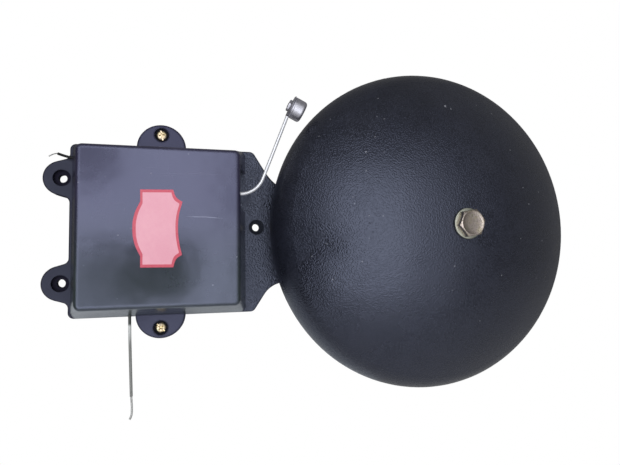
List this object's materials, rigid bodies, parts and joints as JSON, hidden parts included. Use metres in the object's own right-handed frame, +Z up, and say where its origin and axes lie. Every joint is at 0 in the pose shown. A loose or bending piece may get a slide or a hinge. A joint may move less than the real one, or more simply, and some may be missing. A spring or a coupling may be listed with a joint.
{
  "type": "electric signal bell",
  "caption": "Wall-mounted electric signal bell: a hollow-backed base plate, a closed coil cover, a large domed gong on a post and a bent-rod hammer driven by an electromagnet.",
  "frame": {"origin": "axis of the fixing hole in the neck of the base, where it meets the wall", "axes": "+X along the wall towards the gong, +Z up the wall, -Y out of the wall towards the viewer"},
  "size_m": [0.49, 0.1193, 0.3134],
  "materials": {
    "pebble_paint": "textured black paint on cast iron",
    "gong_paint": "textured black paint on pressed steel, with small chips",
    "cover_plastic": "smooth satin gloss",
    "yellow_zinc": "yellow passivated zinc plate",
    "bright_steel": "bright plated",
    "dark_steel": "oiled, slightly dull",
    "core_steel": "stacked laminations, varnished",
    "fibre": "pressed red-brown fibre",
    "bobbin_plastic": "moulded, matt",
    "coil_tape": "varnished tape over copper wire",
    "buffer_rubber": "matt black",
    "brass": "turned, slightly tarnished",
    "lead_sleeve": "soft grey insulation",
    "lead_black": "soft black insulation",
    "lead_core": "tinned copper strands"
  },
  "bodies": {
    "bell": {"base_casting": "pebble_paint", "cover": "cover_plastic", "cover_screws": "yellow_zinc", "gong": "gong_paint", "gong_washer": "bright_steel", "gong_bolt": "yellow_zinc", "fibre_washer": "fibre", "gong_post": "dark_steel", "post_nut": "yellow_zinc", "magnet_core": "core_steel", "core_bolts": "yellow_zinc", "coil_bobbin": "bobbin_plastic", "coil_winding": "coil_tape", "rear_cheek": "dark_steel", "front_cheek": "dark_steel", "pivot_pin": "bright_steel", "pin_clip": "dark_steel", "stop_bar": "dark_steel", "stop_bar_screws": "yellow_zinc", "stop_screw": "bright_steel", "stop_nut": "yellow_zinc", "stop_buffer": "buffer_rubber", "spring_post": "bright_steel", "return_spring": "bright_steel", "terminal_blocks": "fibre", "terminal_barrels": "brass", "terminal_screws": "bright_steel", "coil_lead_upper": "lead_sleeve", "coil_lead_lower": "lead_sleeve", "upper_lead": "lead_black", "upper_lead_tip": "lead_core", "lower_lead": "lead_sleeve", "lower_lead_tip": "lead_core"},
    "hammer": {"armature": "dark_steel", "hammer_rod": "bright_steel", "rod_nuts": "yellow_zinc", "hammer_washer": "bright_steel", "hammer_head": "bright_steel", "hammer_nut": "bright_steel"}
  },
  "joints": [
    {"name": "hammer_swing", "type": "hinge", "parent": "bell", "child": "hammer", "pos_m": [-0.028, -0.038, 0.005], "axis": [0, 1, 0], "range_deg": [0, 3.85], "stiffness_Nm_per_rad": 0.3, "springref_deg": -8.59, "deforming": ["return_spring"]}
  ]
}
